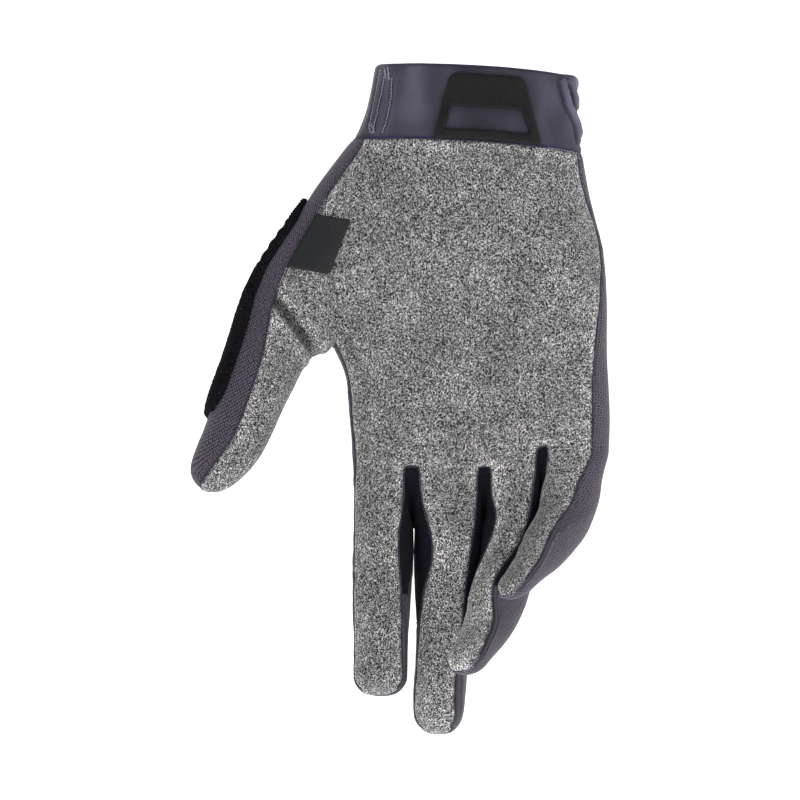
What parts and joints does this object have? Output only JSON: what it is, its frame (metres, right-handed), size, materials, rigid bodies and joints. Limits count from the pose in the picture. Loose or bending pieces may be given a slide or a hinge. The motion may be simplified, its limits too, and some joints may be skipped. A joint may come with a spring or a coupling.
{
  "type": "cycling glove",
  "caption": "Full-finger cycling glove for the right hand with a suede palm, mesh back, stretch cuff and terry thumb pad.",
  "frame": {"origin": "the middle of the open cuff mouth, where a wrist enters and holds the glove up", "axes": "+Z from the fingers to the cuff, -Y out of the palm, +X to the little-finger side"},
  "size_m": [0.1441, 0.0635, 0.2287],
  "materials": {
    "suede": "grey suede microfibre with a short nap",
    "mesh": "dark purple-grey open mesh with a honeycomb face",
    "rib": "purple-grey fine rib knit",
    "gusset": "dark navy fine mesh",
    "band": "smooth stretch knit over foam, slight sheen",
    "rubber": "black moulded rubber, satin",
    "terry": "black ribbed terry towelling"
  },
  "bodies": {
    "root": {"palm_panel": "suede", "back_panel": "mesh", "thumb_side_panel": "rib", "fourchette_index_middle": "gusset", "fourchette_middle_ring": "gusset", "fourchette_ring_pinky": "gusset", "cuff": "band", "cuff_patch": "rubber", "side_tab": "rubber", "thumb_wipe": "terry"}
  },
  "joints": []
}
